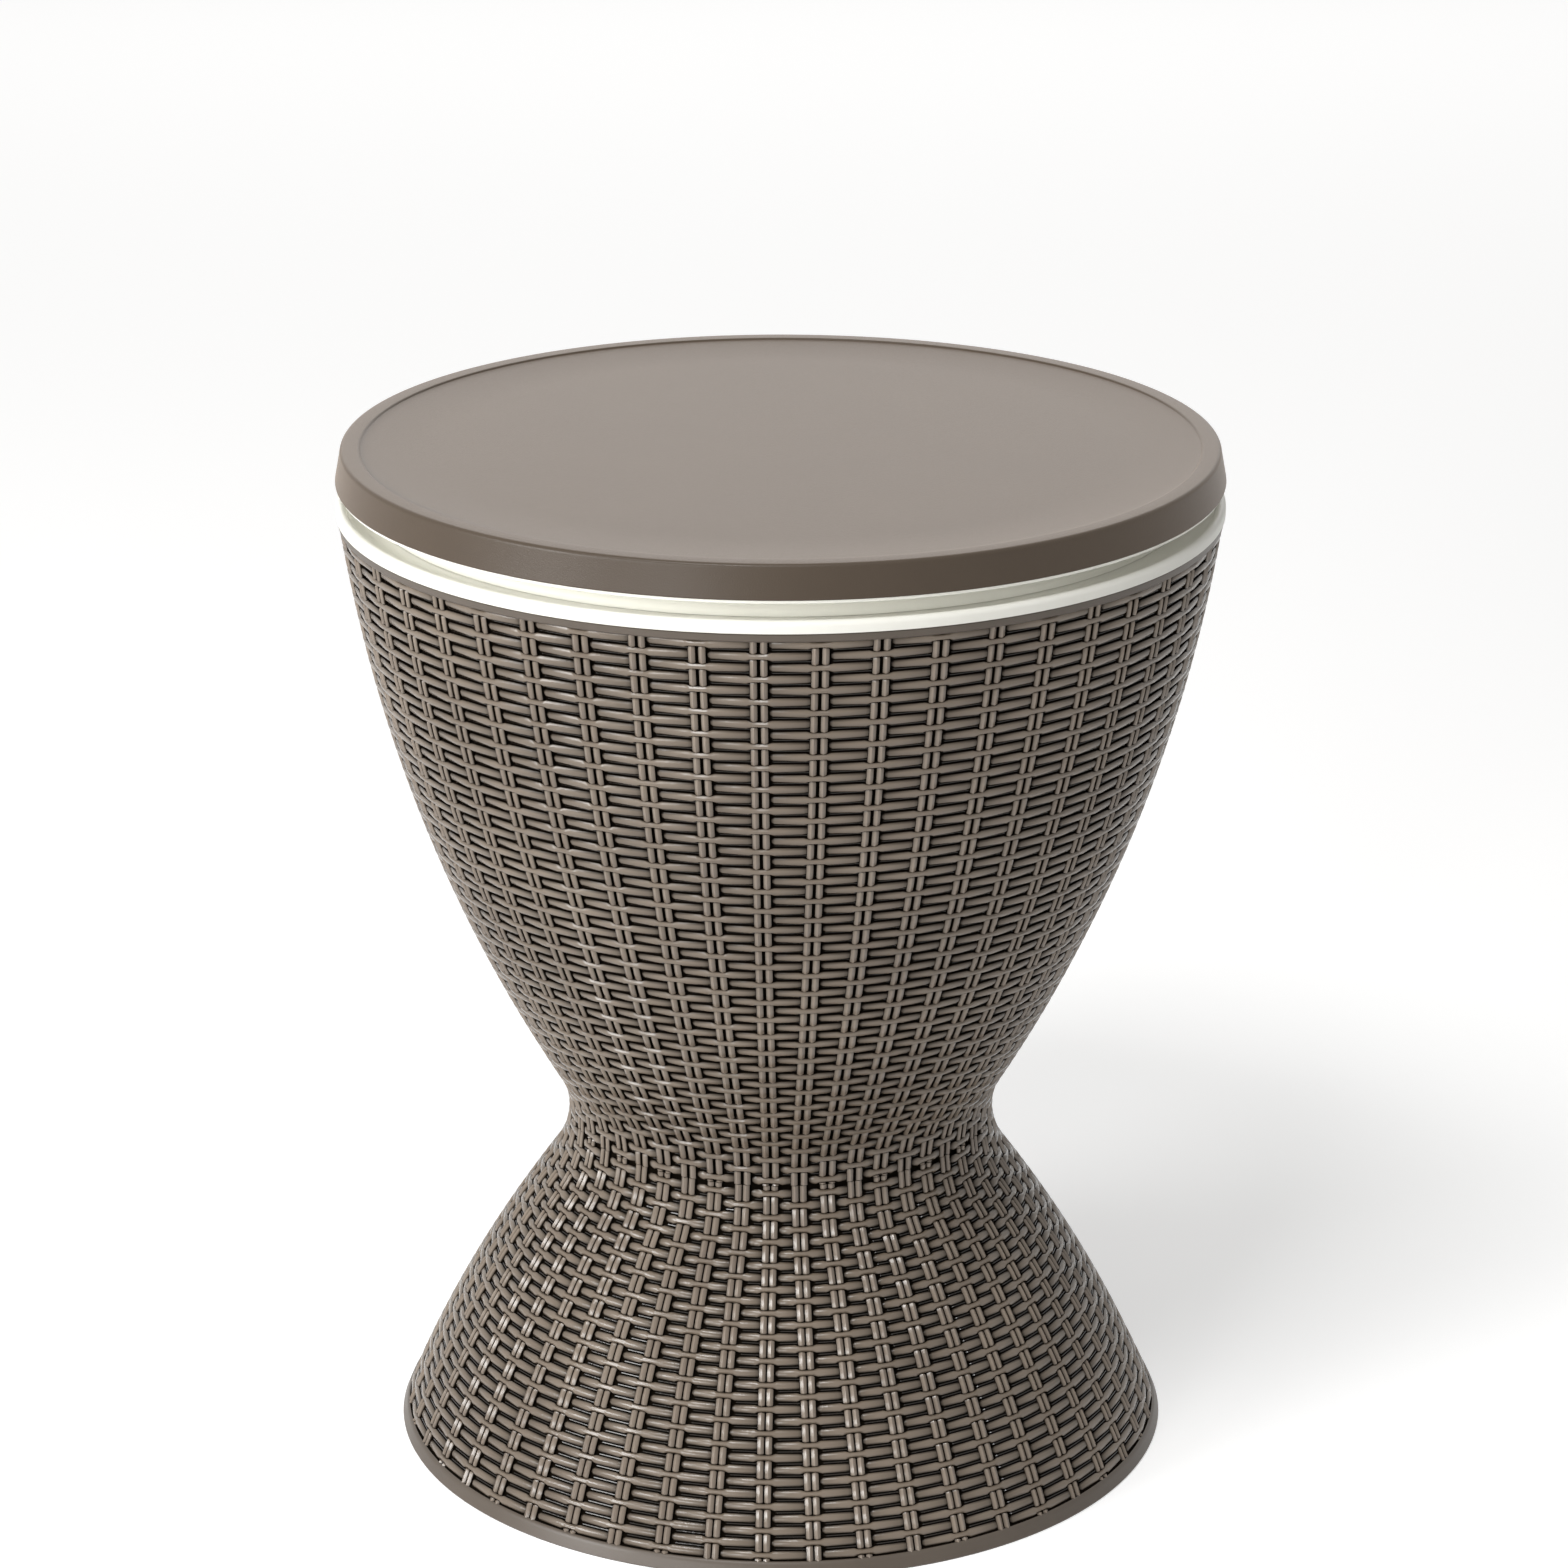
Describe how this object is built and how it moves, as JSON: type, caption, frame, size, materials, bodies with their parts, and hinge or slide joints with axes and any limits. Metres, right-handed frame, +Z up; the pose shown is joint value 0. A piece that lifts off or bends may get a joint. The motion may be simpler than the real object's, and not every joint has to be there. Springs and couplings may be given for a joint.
{
  "type": "cooler table with lid",
  "caption": "Round waisted cooler table: a cream tub inside a woven-look pedestal, under a tray lid that turns and lifts on a central telescoping column.",
  "frame": {"origin": "centre of the foot ring, on the surface the table stands on", "axes": "+Z up along the column, the picture's front faces -Y, +X to the right seen from the front"},
  "size_m": [0.4859, 0.486, 0.578],
  "materials": {
    "woven_brown": "satin moulded plastic with a woven relief",
    "tray_brown": "satin plastic with a fine grain",
    "cream_plastic": "satin plastic",
    "grey_plastic": "satin plastic",
    "steel": "zinc plated",
    "seal_rubber": "matte rubber"
  },
  "bodies": {
    "body": {"base_shell": "woven_brown", "barrel_shell": "woven_brown", "waist_screws": "steel", "inner_tub": "cream_plastic", "guide_column": "cream_plastic", "column_gasket": "seal_rubber", "column_screws": "steel", "column_collar": "cream_plastic", "drain_fitting": "grey_plastic", "drain_gasket": "seal_rubber", "drain_nut": "grey_plastic"},
    "bush": {"guide_bush": "grey_plastic"},
    "lid": {"tabletop": "tray_brown", "lid_underside": "cream_plastic", "lid_screws": "steel", "tube_socket": "cream_plastic", "socket_screws": "steel", "lift_tube": "cream_plastic", "head_pin": "steel", "tube_foot": "grey_plastic", "foot_pin": "steel"},
    "plug": {"drain_plug": "grey_plastic", "plug_ring": "seal_rubber"}
  },
  "joints": [
    {"name": "lid_turn", "type": "hinge", "parent": "body", "child": "bush", "pos_m": [0, 0, 0.5], "axis": [0, 0, 1], "range_deg": [0, 30]},
    {"name": "lid_lift", "type": "slide", "parent": "bush", "child": "lid", "axis": [0, 0, 1], "range_m": [0, 0.26]},
    {"name": "plug_pull", "type": "slide", "parent": "body", "child": "plug", "axis": [0, 0, 1], "range_m": [0, 0.12]}
  ]
}
